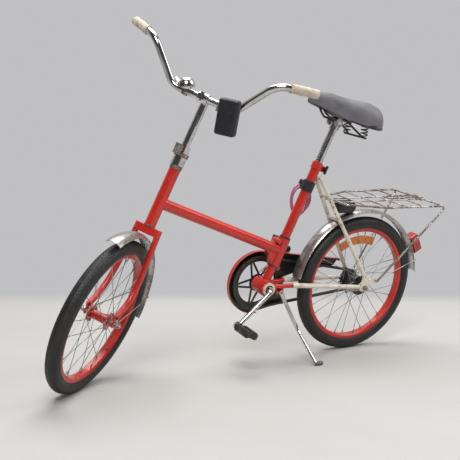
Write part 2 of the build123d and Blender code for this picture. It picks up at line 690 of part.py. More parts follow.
# ---------------------------------------------------------------- front frame, folding half
sleeve_bore = SEAT_TUBE_RADIUS + SLEEVE_CLEARANCE
sleeve = rod(on_seat(SLEEVE_LOW), on_seat(SLEEVE_HIGH), SLEEVE_RADIUS)
main_start = on_seat(MAIN_TUBE_RISE)
head_meet = main_start + seat_ahead * ((on_head(620) - main_start).dot(seat_ahead))
main_tube = rod(main_start, head_meet, MAIN_TUBE_RADIUS)
head_tube = rod(on_head(HEAD_LOW), on_head(HEAD_HIGH), HEAD_TUBE_RADIUS)
gusset_plane = Plane(origin=on_seat(SLEEVE_LOW + 4), x_dir=seat_ahead, z_dir=(0, -1, 0))
web = gusset_plane * make_face(
    Polyline((0, 0), (SLEEVE_RADIUS, 0), (SLEEVE_RADIUS + 9, 14), (SLEEVE_RADIUS + 26, 30),
             (SLEEVE_RADIUS + 60, 40), (0, 50), close=True))
web = extrude(web, 12, both=True)
lug = rod(on_seat(162, 27, -13), on_seat(162, 27, 13), 9)
lug = lug + block(on_seat(162, 20, 0), seat_ahead, Y, seat_up, (16, 26, 18))
stop_lug = rod(on_seat(SLEEVE_LOW - 4, -19, -8), on_seat(SLEEVE_LOW - 4, -19, 8), 9)
main_frame = sleeve + main_tube + head_tube + web + lug + stop_lug
main_frame = main_frame - rod(main_start + seat_ahead * 22, head_meet - seat_ahead * 20,
                              MAIN_TUBE_RADIUS - MAIN_TUBE_WALL)
main_frame = main_frame - rod(on_seat(SLEEVE_LOW - 40), on_seat(SLEEVE_HIGH + 1), sleeve_bore)
main_frame = main_frame - rod(on_seat(SLEEVE_LOW - 20), on_seat(SLEEVE_LOW), SLEEVE_RADIUS - 0.7)
main_frame = main_frame - rod(on_head(HEAD_LOW - 1), on_head(HEAD_HIGH + 1), HEAD_TUBE_BORE)
main_frame = main_frame - block(on_seat(162, 24, 0), seat_ahead, Y, seat_up, (30, 2.5, 34))
main_frame = main_frame - rod(on_seat(162, 27, -20), on_seat(162, 27, 20), 4.0 + FIT)

bolt_left = on_seat(162, 27, 13 + GAP)
fold_bolt = rod(on_seat(162, 27, -22), bolt_left, 4.0) + rod(bolt_left, bolt_left + Y * 5, 8.5)
add("fold_clamp_bolt", fold_bolt)
add("main_frame", [main_frame, nut(on_seat(162, 27, -13 - GAP), Y * -1, 13, 6, 4.0 + FIT)])

lower_cup = rod(on_head(HEAD_LOW - 4), on_head(HEAD_LOW), HEAD_TUBE_RADIUS + 1.5, STEERER_RADIUS + 1)
upper_cup = rod(on_head(HEAD_HIGH), on_head(HEAD_HIGH + 12), HEAD_TUBE_RADIUS + 1.5,
                STEERER_RADIUS + 1)
add("headset_cups", [lower_cup, upper_cup])

# ---------------------------------------------------------------- fork and headset
crown_mid = on_head(HEAD_LOW - 4 - GAP - CROWN_HEIGHT / 2)
crown_plane = Plane(origin=crown_mid - head_up * CROWN_HEIGHT / 2, x_dir=Y, z_dir=head_up)
crown = extrude(crown_plane * SlotOverall(CROWN_WIDTH, CROWN_DEPTH), CROWN_HEIGHT)
steerer = rod(crown_mid, on_head(HEAD_HIGH + 70), STEERER_RADIUS)


def fork_leg():
    """A leg that drops from the crown and curves forward to the axle."""
    top = crown_mid + Y * (CROWN_WIDTH / 2 - FORK_LEG_RADIUS)
    low = front_hub + Y * FORK_HALF_WIDTH + Z * 22 - head_ahead * 4
    knee = on_head(395, 1, FORK_HALF_WIDTH - 4)
    mid = on_head(318, 15, FORK_HALF_WIDTH)
    leg = bent([top, knee, mid, low], [300, 120], FORK_LEG_RADIUS)
    tab = rod(front_hub + Y * (FORK_HALF_WIDTH - 2.5), front_hub + Y * (FORK_HALF_WIDTH + 2.5), 13)
    tab = tab + block(front_hub + Y * FORK_HALF_WIDTH + Z * 14, X, Y, Z, (15, 5, 28))
    return leg + tab - rod(front_hub, front_hub + Y * 90, AXLE_RADIUS + 0.2)


fork = crown + steerer + fork_leg() + mirror(fork_leg(), Plane.XZ)
fork = fork - rod(on_head(560), on_head(840), STEM_RADIUS + STEM_CLEARANCE)
add("fork", fork, True)

front_axle_half = FORK_HALF_WIDTH + 24
front_parts = [rod(front_hub - Y * front_axle_half, front_hub + Y * front_axle_half, AXLE_RADIUS)]
for side in (-1, 1):
    outside = front_hub + Y * side * (axle_stop + 4.05)
    front_parts.append(nut(outside, Y * side, 15.0, 7.5, AXLE_RADIUS + 0.01))
    cone = front_hub + Y * side * (FORK_HALF_WIDTH - 2.5)
    front_parts.append(rod(front_hub + Y * side * 31, cone, 7.5, AXLE_RADIUS + 0.01))
    washer = front_hub + Y * side * (FORK_HALF_WIDTH + 2.5)
    front_parts.append(rod(washer, washer + Y * side * 2.4, 8.0, AXLE_RADIUS + 0.01))
add("front_axle", front_parts, True)

top_race = HEAD_HIGH + 12 + GAP
LAMP_BOLT_BORE = 3.2
fluted = RegularPolygon(14.0 + 5.5, 12) - Circle(STEERER_RADIUS + 0.02)
race = rod(on_head(top_race), on_head(top_race + 28), HEAD_TUBE_RADIUS + 3, STEERER_RADIUS + 0.02)
lock_nut = extrude(Plane(origin=on_head(top_race + 40), z_dir=head_up) * fluted, 24)
bracket = rod(on_head(top_race + 28), on_head(top_race + 40), 23, STEERER_RADIUS + 0.02)
bracket = bracket + block(on_head(top_race + 33, 32), head_ahead, Y, head_up, (34, 24, 4))
bracket = bracket + block(on_head(top_race + 47, 48), head_ahead, Y, head_up, (4, 24, 32))
lamp_bolt = on_head(top_race + 52, 48)
bracket = bracket - rod(lamp_bolt - head_ahead * 9, lamp_bolt + head_ahead * 9, LAMP_BOLT_BORE)
add("headset_nuts", [race, lock_nut], True)
add("lamp_bracket", bracket, True)

# ---------------------------------------------------------------- stem, bar and what is on it
bar_centre = on_head(STEM_TOP, STEM_REACH)
stem = rod(on_head(640), on_head(STEM_TOP - 4), STEM_RADIUS)
clamp = rod(bar_centre - Y * 17, bar_centre + Y * 17, BAR_RADIUS + 6)
clamp = clamp + block(on_head(STEM_TOP - 4, STEM_REACH / 2), head_ahead, Y, head_up,
                      (STEM_REACH, 24, 22))
clamp = clamp + block(bar_centre + head_ahead * (BAR_RADIUS + 9), head_ahead, Y, head_up,
                      (20, 24, 16))
stem = stem + clamp - rod(bar_centre - Y * 20, bar_centre + Y * 20, BAR_RADIUS + FIT)
stem = stem - block(bar_centre + head_ahead * (BAR_RADIUS + 12), head_ahead, Y, head_up, (30, 40, 2.5))
bolt_foot = bar_centre + head_ahead * (BAR_RADIUS + 12.5)
stem = stem - rod(bolt_foot - head_up * 20, bolt_foot + head_up * 20, 3.6)
clamp_bolt = rod(bolt_foot - head_up * 12, bolt_foot + head_up * 8, 3.5)
clamp_bolt = clamp_bolt + rod(bolt_foot + head_up * 8.02, bolt_foot + head_up * 14, 7)
add("stem", [stem, clamp_bolt], True)

bend_low = point(bar_centre.X, 108, bar_centre.Z)
bend_high = point(bar_centre.X + 1, 206, bar_centre.Z + 121)
bar_end = point(bar_centre.X - 64, 313, bar_centre.Z + 125)
half_bar = [bend_low, bend_high, bar_end]
bar_points = [mirrored(p) for p in reversed(half_bar)] + half_bar
bar = bent(bar_points, [70, 54, 54, 70], BAR_RADIUS, BAR_RADIUS - BAR_WALL)
add("handlebar", bar, True)


def grip():
    way = (bend_high - bar_end).normalized()
    start = bar_end - way * 3
    tube = rod(start, start + way * GRIP_LENGTH, BAR_RADIUS + GRIP_WALL)
    rim_ring = rod(start + way * (GRIP_LENGTH - 5), start + way * GRIP_LENGTH,
                   BAR_RADIUS + GRIP_WALL + 2)
    return tube + rim_ring - rod(bar_end, bar_end + way * 120, BAR_RADIUS + 0.02)


add("grips", both_sides(grip), True)

bell_spot = bar_centre - Y * 62
bell_up = in_plane(70)
bell_band = rod(bell_spot - Y * 8, bell_spot + Y * 8, BAR_RADIUS + 2.5, BAR_RADIUS + 0.02)
bell_foot = bell_spot + bell_up * (BAR_RADIUS + 1.5)
bell_base = bell_band + (rod(bell_foot, bell_foot + bell_up * 9, 9) - rod(
    bell_spot - Y * 9, bell_spot + Y * 9, BAR_RADIUS + 0.02))
bell_plate = bell_foot + bell_up * 9
bell_base = bell_base + rod(bell_plate, bell_plate + bell_up * 3, 23)
bell_base = bell_base + rod(bell_plate, bell_plate + bell_up * 20, 3)
dome_plane = Plane(origin=bell_plate + bell_up * (3 + GAP), z_dir=bell_up)
DOME_RADIUS = 27.0
DOME_HEIGHT = 21.0
ball = DOME_RADIUS ** 2 / (2 * DOME_HEIGHT) + DOME_HEIGHT / 2
dome = Pos(0, 0, DOME_HEIGHT - ball) * Sphere(ball) - Pos(0, 0, DOME_HEIGHT - ball) * Sphere(ball - 1.3)
dome = dome & Pos(0, 0, 50) * Box(100, 100, 100)
dome = dome - Cylinder(3.05, 100)
add("bell_dome", dome_plane * dome, True)
lever_root = bell_plate + bell_up * 1.5 - Y * 23
LEVER_REACH = 22.0
lever = rod(lever_root - bell_up * 1.4 - Y * 2.8, lever_root + bell_up * 1.4 - Y * 2.8, 2.6)
lug_top = lever_root - bell_up * 1.5 - Y * 2.8
bell_base = bell_base + rod(lug_top - bell_up * 2.5, lug_top - bell_up * 0.05, 3.2)
bell_base = bell_base + block(lug_top - bell_up * 1.3 + Y * 8, bell_up.cross(Y), Y, bell_up,
                              (5, 16, 2.4))
add("bell_base", bell_base, True)
lever_way = (Y * -1 - in_plane(-20) * 0.7).normalized()
lever = lever + block(lever_root - Y * 2.8 + lever_way * LEVER_REACH / 2, lever_way,
                      bell_up.cross(lever_way), bell_up, (LEVER_REACH, 6, 2))
add("bell_lever", lever, True)

BOX_SIZE = (32.0, 64.0, 108.0)
BOX_TILT = 10.0
box_ahead = in_plane(7)
box_up = in_plane(97).rotate(Axis((0, 0, 0), box_ahead), BOX_TILT)
box_left = box_up.cross(box_ahead)
box_centre = point(bar_centre.X + 39, 104, bar_centre.Z - 13)
case = block(box_centre, box_ahead, box_left, box_up, BOX_SIZE)
case = fillet(case.edges(), 9)
add("horn_box", case, True)
box_clamp_spot = bar_centre + Y * 66
box_clamp = rod(box_clamp_spot - Y * 9, box_clamp_spot + Y * 9, BAR_RADIUS + 3)
box_back = point(bar_centre.X + 18, 71, bar_centre.Z)
box_clamp = box_clamp + block(box_back, box_ahead, Y, in_plane(97), (22, 27, 26))
box_clamp = box_clamp - rod(bar_centre + Y * 50, bar_centre + Y * 100, BAR_RADIUS + 0.02) - case
add("horn_bracket", box_clamp, True)

# ---------------------------------------------------------------- seat post, clamp and saddle
post_top = on_seat(POST_TOP)
clamp_ring = rod(on_seat(SEAT_TUBE_TOP - 26), on_seat(SEAT_TUBE_TOP - 4), UPPER_TUBE_RADIUS + 3,
                 UPPER_TUBE_RADIUS + 0.02)
ears = block(on_seat(SEAT_TUBE_TOP - 15, -UPPER_TUBE_RADIUS - 9, 0), seat_ahead, Y, seat_up,
             (20, 16, 20))
clamp_ring = clamp_ring + ears - rod(on_seat(SEAT_TUBE_TOP - 40), on_seat(SEAT_TUBE_TOP + 5),
                                     UPPER_TUBE_RADIUS + 0.02)
clamp_ring = clamp_ring - block(on_seat(SEAT_TUBE_TOP - 15, -UPPER_TUBE_RADIUS - 10), seat_ahead,
                                Y, seat_up, (34, 3, 40))
knob_axis = on_seat(SEAT_TUBE_TOP - 15, -UPPER_TUBE_RADIUS - 13)
clamp_ring = clamp_ring - rod(knob_axis - Y * 20, knob_axis + Y * 20, 3.0 + FIT)
knob = rod(knob_axis - Y * 17, knob_axis + Y * (8 + GAP), 3.0)
knob = knob + rod(knob_axis + Y * (8 + GAP), knob_axis + Y * 15, 7.5)
knob = knob + block(knob_axis + Y * 18, seat_ahead, Y, seat_up, (8, 6.4, 30), 1.5)
add("seat_clamp_knob", knob)
add("seat_clamp", [clamp_ring, nut(knob_axis - Y * 8.02, Y * -1, 10, 5, 3.0 + FIT)])

saddle_tail_x = SADDLE_NOSE_X - SADDLE_LENGTH
wide = SADDLE_WIDTH / 2
pivot = point(post_top.X + 4, 0, post_top.Z + 6)


def saddle_plan(inset):
    """The saddle's outline from above: a slim nose that widens to a broad round tail."""
    nose, tail, half_width = SADDLE_NOSE_X - inset, saddle_tail_x + inset, wide - inset
    side = Spline((nose, 0), (nose - 12, 17 - inset / 2), (SADDLE_NOSE_X - 70, 30 - inset / 2),
                  (SADDLE_NOSE_X - 135, 50 - inset / 2), (SADDLE_NOSE_X - 190, half_width - 14),
                  (SADDLE_NOSE_X - 228, half_width - 2), (tail + 10, half_width - 34), (tail, 0),
                  tangents=((0, 1), (0, -1)))
    edge = side.edges()[0]
    return make_face(Wire([edge, mirror(edge, Plane.XZ).edges()[0]]))


side_top = [(SADDLE_NOSE_X + 5, SADDLE_TOP_Z - 24), (SADDLE_NOSE_X - 14, SADDLE_TOP_Z - 3),
            (SADDLE_NOSE_X - 72, SADDLE_TOP_Z), (SADDLE_NOSE_X - 122, SADDLE_TOP_Z - 12),
            (SADDLE_NOSE_X - 240, SADDLE_TOP_Z - 24), (saddle_tail_x + 14, SADDLE_TOP_Z - 40),
            (saddle_tail_x - 5, SADDLE_TOP_Z - 66)]
side_low = [(saddle_tail_x - 5, SADDLE_TOP_Z - 106), (saddle_tail_x + 40, SADDLE_TOP_Z - 114),
            (SADDLE_NOSE_X - 150, SADDLE_TOP_Z - 92), (SADDLE_NOSE_X - 60, SADDLE_TOP_Z - 58),
            (SADDLE_NOSE_X + 5, SADDLE_TOP_Z - 34)]
profile = make_face(Polyline(*[(x, 0, z) for x, z in side_top + side_low], close=True))
saddle = extrude(Pos(0, 0, SADDLE_TOP_Z - 140) * saddle_plan(0), 160) & extrude(
    profile, 200, dir=(0, 1, 0), both=True)
inner_profile = make_face(Polyline(
    (SADDLE_NOSE_X - 18, 0, SADDLE_TOP_Z - 120), (SADDLE_NOSE_X - 18, 0, SADDLE_TOP_Z - 24),
    (SADDLE_NOSE_X - 122, 0, SADDLE_TOP_Z - 32), (saddle_tail_x + 16, 0, SADDLE_TOP_Z - 60),
    (saddle_tail_x + 16, 0, SADDLE_TOP_Z - 120), close=True))
hollow = extrude(Pos(0, 0, SADDLE_TOP_Z - 140) * saddle_plan(9), 160) & extrude(
    inner_profile, 200, dir=(0, 1, 0), both=True)
saddle_shell = saddle - hollow
add("saddle_cover", saddle_shell)

# A sprung steel undercarriage: two wires from the nose pass the clamp and hold the springs.
SPRING_X, SPRING_Y = 92.0, 46.0
spring_low = SADDLE_TOP_Z - 138
spring_high = SADDLE_TOP_Z - 118
RAIL_LIFT = 11.0
RAIL_RADIUS = 3.5


def saddle_wire():
    rail = pivot + Z * RAIL_LIFT
    return bent([point(SADDLE_NOSE_X - 44, 9, SADDLE_TOP_Z - 42),
                 point(SADDLE_NOSE_X - 62, 12, SADDLE_TOP_Z - 66), rail + X * 30 + Y * 20,
                 rail - X * 26 + Y * 21, point(SPRING_X - 2, SPRING_Y - 8, spring_low - RAIL_RADIUS)],
                [10, 30, 22], RAIL_RADIUS)


cradle_z = SADDLE_TOP_Z - 97
cradle = block(point(SPRING_X - 4, 0, cradle_z), X, Y, Z, (30, 2 * wide, 3))
cradle = cradle & extrude(Pos(0, 0, cradle_z - 20) * saddle_plan(4), 40)
nose_plate = block(point(SADDLE_NOSE_X - 42, 0, SADDLE_TOP_Z - 32), X, Y, Z, (26, 26, 16))
cross_wire = rod(point(SPRING_X, -SPRING_Y - 12, spring_low - RAIL_RADIUS),
                 point(SPRING_X, SPRING_Y + 12, spring_low - RAIL_RADIUS), RAIL_RADIUS)
rails = saddle_wire() + mirror(saddle_wire(), Plane.XZ)
add("saddle_frame", [(rails + cross_wire + nose_plate) - saddle_shell, cradle - saddle_shell])


def coil_spring():
    height = cradle_z - 1.5 - spring_low - 0.5
    turns = Helix(height / 3.5, height - 4.4, 11.0)
    coil = sweep(Plane(origin=turns @ 0, z_dir=turns % 0) * Circle(2.2), path=turns)
    return Pos(SPRING_X, SPRING_Y, spring_low + 2.4) * coil


add("saddle_springs", both_sides(coil_spring))
# The post's clamp carries a crosswise barrel; two cheeks turn on it and grip the rails.
BARREL_RADIUS = 7.0
post = rod(on_seat(SLEEVE_HIGH + 72), post_top, POST_RADIUS, POST_RADIUS - 2)
clamp_post = rod(on_seat(POST_TOP - 22), on_seat(POST_TOP + 8), POST_RADIUS + 3.5)
clamp_post = clamp_post & Pos(*on_seat(POST_TOP)) * Box(80, 26, 90) + rod(
    on_seat(POST_TOP - 22), on_seat(POST_TOP - 4), POST_RADIUS + 3.5)
clamp_post = clamp_post + rod(pivot - Y * 27, pivot + Y * 27, BARREL_RADIUS)
clamp_post = clamp_post - rod(on_seat(POST_TOP - 40), post_top, POST_RADIUS + 0.02)
add("seat_post", [post, clamp_post])


def saddle_cheek():
    cheek = rod(pivot + Y * 16.2, pivot + Y * 25.5, 15)
    return cheek - rod(pivot, pivot + Y * 40, BARREL_RADIUS + FIT)


add("saddle_clamp", [piece - rails for piece in both_sides(saddle_cheek)])

# ---------------------------------------------------------------- kickstand
stand_knee = point(268, 38, 124)
stand_leg = bent([stand_top, stand_knee, stand_foot], [60], STAND_RADIUS)
stand_leg = stand_leg + rod(stand_top - Y * 6.5, stand_top + Y * 7, 10)
stand_leg = stand_leg - rod(stand_top - Y * 20, stand_top + Y * 20, 4.0 + FIT)


def stand_shoe(radius):
    """A short round-ended bar that lies on the floor, behind the leg's end."""
    back = stand_foot - X * STAND_TOE
    return rod(stand_foot, back, radius) + Pos(*stand_foot) * Sphere(radius) + Pos(*back) * Sphere(radius)


add("kickstand_leg", stand_leg - stand_shoe(STAND_TIP + 0.02))
add("kickstand_foot", stand_shoe(STAND_TIP))

# ---------------------------------------------------------------- carrier rack and lamps
RACK_FRONT_X, RACK_REAR_X = 142.0, -246.0
RACK_WAIST_X = RACK_FRONT_X - RACK_TAPER
CROSS_WIRE = 2.4


def on_rack(x, y, lift=0.0):
    """A point of the deck, or above it by lift."""
    return point(x, y, RACK_HEIGHT + lift)


def rack_half(x):
    """Half the deck's width at x: it tapers to the front and widens slowly to the rear."""
    if x > RACK_WAIST_X:
        return RACK_FRONT_HALF + (RACK_FRONT_X - x) * (RACK_WAIST_HALF - RACK_FRONT_HALF) / RACK_TAPER
    return RACK_WAIST_HALF + (RACK_WAIST_X - x) * (RACK_REAR_HALF - RACK_WAIST_HALF) / (
        RACK_WAIST_X - RACK_REAR_X)


def rack_side(side):
    """One side wire: across the front, along the deck and down to the dropout's eyelet."""
    foot = point(-43, side * (REAR_HALF_WIDTH + 12), 274)
    wire = bent([
        on_rack(RACK_FRONT_X, 0), on_rack(RACK_FRONT_X, side * RACK_FRONT_HALF),
        on_rack(RACK_WAIST_X, side * RACK_WAIST_HALF),
        on_rack(RACK_REAR_X - 18, side * RACK_REAR_HALF), foot], [26, 70, 12], RACK_WIRE)
    eyelet = point(-43, side * REAR_HALF_WIDTH, 274)
    return wire - rod(eyelet, eyelet + Y * side * 30, 2.5 + 0.02)


def rack_link(side):
    """A short strut from the deck's front wire to the seat stay beside it."""
    stay = on_seat_stay(RACK_HEIGHT)
    end = stay if side > 0 else mirrored(stay)
    tube = seat_stay() if side > 0 else mirror(seat_stay(), Plane.XZ)
    return rod(on_rack(RACK_FRONT_X, side * 18), end, 3.0) - tube


rack = rack_side(1) + rack_side(-1) + rack_link(1) + rack_link(-1)
rack = rack + rod(on_rack(RACK_REAR_X, -RACK_REAR_HALF), on_rack(RACK_REAR_X, RACK_REAR_HALF), 3.2)
for x in (70, 0, -80, -160):
    half = rack_half(x) - 1
    rack = rack + rod(on_rack(x, -half), on_rack(x, half), CROSS_WIRE)
for y in (-26, 26):
    rack = rack + rod(on_rack(RACK_FRONT_X, y), on_rack(RACK_REAR_X, y), CROSS_WIRE)
add("carrier_rack", rack)

CLAMP_WIRE = 2.2
clamp_lift = CROSS_WIRE + CLAMP_WIRE + GAP
hoop = bent([on_rack(RACK_REAR_X + 8, -17, 2), on_rack(RACK_REAR_X + 30, -17, clamp_lift),
             on_rack(-86, -20, clamp_lift), on_rack(-86, 20, clamp_lift),
             on_rack(RACK_REAR_X + 30, 17, clamp_lift), on_rack(RACK_REAR_X + 8, 17, 2)],
            [20, 16, 16, 20], CLAMP_WIRE)
pivot_bore = 3.2 + FIT
for side in (-1, 1):
    eye = on_rack(RACK_REAR_X, side * 17)
    hoop = hoop + rod(eye - Y * 5, eye + Y * 5, 7.5)
hoop = hoop - rod(on_rack(RACK_REAR_X, -40), on_rack(RACK_REAR_X, 40), pivot_bore)
turns = Helix(3.4, 21, 5.6)
clamp_coil = sweep(Plane(origin=turns @ 0, z_dir=turns % 0) * Circle(1.1), path=turns)
coil_plane = Plane(origin=on_rack(RACK_REAR_X, -10.5), z_dir=Y)
add("rack_clamp", [hoop, coil_plane * clamp_coil])

lamp_size = (76.0, 50.0, 40.0)
lamp_centre = on_rack(98, 0, -CROSS_WIRE - 0.05 - lamp_size[2] / 2)
add("rack_lamp", block(lamp_centre, X, Y, Z, lamp_size, 13))
lens_centre = lamp_centre - X * (lamp_size[0] / 2 + 3.05)
lens = block(lens_centre, X, Y, Z, (6, 30, 22), 2.5)
add("rack_lamp_lens", lens)

TAIL_LAMP_ANGLE = 151.7
tail_way = in_plane(TAIL_LAMP_ANGLE)
tail_lamp = block(rear_hub + tail_way * (MUDGUARD_RADIUS + 15), tail_way, Y, tail_way.cross(Y),
                  (42, 44, 70), 8)
add("tail_lamp", tail_lamp - rod(rear_hub - Y * 40, rear_hub + Y * 40, MUDGUARD_RADIUS + 0.1))

# ---------------------------------------------------------------- cable lock
LOCK_RISE = 370.0
lock_ring = rod(on_seat(LOCK_RISE - 18), on_seat(LOCK_RISE + 18), UPPER_TUBE_RADIUS + 5,
                UPPER_TUBE_RADIUS + 0.05)
lock_head = block(on_seat(LOCK_RISE, 0, -29), seat_ahead, Y, seat_up, (26, 22, 30), 4)
coil_high, coil_wide, coil_cable = 124.0, 88.0, 8.0
coil_plane = Plane(origin=on_seat(LOCK_RISE, 2, -31) - Z * (coil_high / 2 - 8), x_dir=Z, z_dir=Y)
coil_sketch = SlotOverall(coil_high, coil_wide) - SlotOverall(coil_high - 4 * coil_cable,
                                                              coil_wide - 4 * coil_cable)
lock_coil = extrude(coil_plane * coil_sketch, coil_cable, both=True)
lock_coil = fillet(lock_coil.edges(), coil_cable - 0.5)
lock_head = lock_head - rod(on_seat(LOCK_RISE - 40), on_seat(LOCK_RISE + 40), UPPER_TUBE_RADIUS + 1)
add("lock_bracket", (lock_ring + lock_head) - lock_coil)
add("lock_coil", lock_coil)

# The frame's origin is on the floor, under the middle of the whole bicycle.
corners = [s.bounding_box() for solids in nodes.values() for s in solids]
middle_x = (min(b.min.X for b in corners) + max(b.max.X for b in corners)) / 2
middle_y = (min(b.min.Y for b in corners) + max(b.max.Y for b in corners)) / 2
centring = Pos(-middle_x, -middle_y, 0)

for name, solids in nodes.items():
    placed = [centring * s for s in solids]
    shape = placed[0] if len(placed) == 1 else Compound(children=placed)
    export_step(shape, f"parts/{name}.step")
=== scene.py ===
import json
import math

import bpy
import numpy as np
from mathutils import Matrix, Vector


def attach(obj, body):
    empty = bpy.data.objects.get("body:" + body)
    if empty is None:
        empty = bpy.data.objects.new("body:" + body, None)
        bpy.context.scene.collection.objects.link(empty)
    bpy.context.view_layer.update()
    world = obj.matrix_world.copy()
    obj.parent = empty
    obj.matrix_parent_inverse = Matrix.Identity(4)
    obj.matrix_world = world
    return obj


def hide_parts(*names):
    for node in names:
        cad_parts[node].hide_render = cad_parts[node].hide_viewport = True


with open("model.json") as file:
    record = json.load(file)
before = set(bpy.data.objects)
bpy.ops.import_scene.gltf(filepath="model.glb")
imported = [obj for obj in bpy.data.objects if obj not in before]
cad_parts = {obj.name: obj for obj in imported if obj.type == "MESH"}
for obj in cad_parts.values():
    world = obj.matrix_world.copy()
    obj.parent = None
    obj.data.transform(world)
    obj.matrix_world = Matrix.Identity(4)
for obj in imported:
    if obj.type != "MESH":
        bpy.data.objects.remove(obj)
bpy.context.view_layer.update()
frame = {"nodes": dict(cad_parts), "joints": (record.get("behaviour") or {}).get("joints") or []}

joints = {joint["name"]: joint for joint in frame["joints"]}

# ---------------------------------------------------------------- the camera
# It stands in front of the bicycle on its left, at about saddle height, and looks down a little.
lens_mm, sensor_mm = 63.50, 36.0
yaw, pitch, roll = math.radians(149.14), math.radians(5.81), math.radians(0.18)
camera = bpy.data.objects.new("camera", bpy.data.cameras.new("camera"))
camera.data.lens, camera.data.sensor_width = lens_mm, sensor_mm
camera.matrix_world = (Matrix.Translation((1.43014, 2.16556, 0.7357)) @ Matrix.Rotation(yaw, 4, "Z")
                       @ Matrix.Rotation(math.pi / 2 - pitch, 4, "X") @ Matrix.Rotation(roll, 4, "Z"))
bpy.context.scene.collection.objects.link(camera)
bpy.context.scene.camera = camera

# ---------------------------------------------------------------- how the bicycle stands
# It leans left on its kickstand, with the front turned left. Each function takes millimetres
# ahead of the rear axle, to the left and up from the floor, as on an upright bicycle.
hub = np.array(joints["rear_wheel_spin"]["pos_m"])
left = np.array(joints["rear_wheel_spin"]["axis"])
to_crank = np.array(joints["crank_spin"]["pos_m"]) - hub
crank_rise = math.atan2(22, 399)    # the crank's axis from the rear axle: mm up, mm ahead
level = to_crank / np.linalg.norm(to_crank)
ahead = level * math.cos(crank_rise) + np.cross(level, left) * -math.sin(crank_rise)
ahead = ahead / np.linalg.norm(ahead)
up = np.cross(ahead, left)
axle_height = 250.0


def on_frame(points):
    """The place of upright points (ahead, left, up in mm) on the leaning rear frame, in metres."""
    points = np.asarray(points, float)
    return hub + (points - (0, 0, axle_height)) @ np.array([ahead, left, up]) / 1000


bar_clamp = np.array(joints["bar_roll"]["pos_m"])
bar_left = np.array(joints["bar_roll"]["axis"])
head_up = np.array(joints["steering"]["axis"])
across_head = np.cross(bar_left, head_up)
head_sine, head_cosine = 0.9265, 0.3762    # of the head tube's angle
bar_ahead = across_head * head_sine - head_up * head_cosine
bar_up = across_head * head_cosine + head_up * head_sine


def on_bar(points):
    """The place of points (ahead, left, up in mm from the bar's clamp) on the turned bar."""
    return bar_clamp + np.asarray(points, float) @ np.array([bar_ahead, bar_left, bar_up]) / 1000


# ---------------------------------------------------------------- cable lock
# A steel cable in a pink plastic sleeve, wound three times and hung from its black lock head
# behind the seat tube, on the right.
cable_diameter = 0.008
turns, points_a_turn = 3, 14
coil_centre = np.array([266.5, -31.0, 563.5])
turning = np.linspace(0, 2 * math.pi * turns, turns * points_a_turn + 1)
drift = turning / turning[-1]
high = 52.0 + 5.5 * np.sin(turning * 0.37 + 0.4)
wide = 36.5 + 5.0 * np.sin(turning * 0.51 + 2.1)
cable_points = on_frame(coil_centre + np.stack([
    wide * np.sin(turning), -4.6 + 9.0 * drift + 1.5 * np.sin(turning * 0.7),
    high * np.cos(turning)], axis=1))
cable_curve = bpy.data.curves.new("cable_lock", "CURVE")
cable_curve.dimensions = "3D"
cable_curve.bevel_depth = cable_diameter / 2
cable_curve.bevel_resolution = 4
cable_curve.resolution_u = 6
cable_line = cable_curve.splines.new("NURBS")
cable_line.points.add(len(cable_points) - 1)
cable_line.points.foreach_set("co", np.column_stack(
    [cable_points, np.ones(len(cable_points))]).astype(np.float32).ravel())
cable_line.order_u = 3
cable_line.use_endpoint_u = True
cable = bpy.data.objects.new("cable_lock", cable_curve)
bpy.context.scene.collection.objects.link(cable)


class Wire:
    """One output in a finish; + - * / on it add Math nodes to that finish."""

    def __init__(self, finish, socket):
        self.finish = finish
        self.socket = socket

    def maths(self, operation, *values):
        return self.finish.node("ShaderNodeMath", {"operation": operation}, dict(enumerate(values)))

    def __add__(self, other):
        return self.maths("ADD", self, other)

    def __sub__(self, other):
        return self.maths("SUBTRACT", self, other)

    def __rsub__(self, other):
        return self.maths("SUBTRACT", other, self)

    def __mul__(self, other):
        return self.maths("MULTIPLY", self, other)

    def __truediv__(self, other):
        return self.maths("DIVIDE", self, other)

    __radd__ = __add__
    __rmul__ = __mul__

    def rises(self, low, high):
        """0 below low, 1 above high and smooth between them."""
        return self.finish.node("ShaderNodeMapRange", {"interpolation_type": "SMOOTHSTEP"},
                                {"Value": self, "From Min": low, "From Max": high})


class Finish:
    """A finish for one kind of surface; fixed values go straight onto the shader's sockets."""

    def __init__(self, name, **fixed):
        self.material = bpy.data.materials.new(name)
        self.material.use_nodes = True
        self.tree = self.material.node_tree
        self.skin = self.tree.nodes["Principled BSDF"]
        for socket, value in fixed.items():
            self.skin.inputs[socket.replace("_", " ")].default_value = value
        self.place = self.node("ShaderNodeTexCoord", {}, {}, "Object")

    def node(self, kind, settings, sockets, output=0):
        """Adds a node: its settings first, then the value or the wire of each of its sockets."""
        node = self.tree.nodes.new(kind)
        for name, value in settings.items():
            setattr(node, name, value)
        for name, value in sockets.items():
            if isinstance(value, Wire):
                self.tree.links.new(value.socket, node.inputs[name])
            else:
                node.inputs[name].default_value = value
        return Wire(self, node.outputs[output])

    def noise(self, scale, detail=4.0, rough=0.55, where=None):
        return self.node("ShaderNodeTexNoise", {}, {
            "Vector": where or self.place, "Scale": scale, "Detail": detail, "Roughness": rough})

    def mix(self, amount, first, second):
        return self.node("ShaderNodeMix", {"data_type": "RGBA"}, {
            0: amount, 6: rgb(first), 7: rgb(second)}, 2)

    def bump(self, height, millimetres):
        return self.node("ShaderNodeBump", {}, {
            "Strength": 1.0, "Distance": millimetres / 1000, "Height": height})

    def wear(self, **wires):
        for socket, wire in wires.items():
            self.tree.links.new(wire.socket, self.skin.inputs[socket.replace("_", " ")])
        return self.material


def rgb(colour):
    return colour if isinstance(colour, Wire) else (*colour, 1.0)


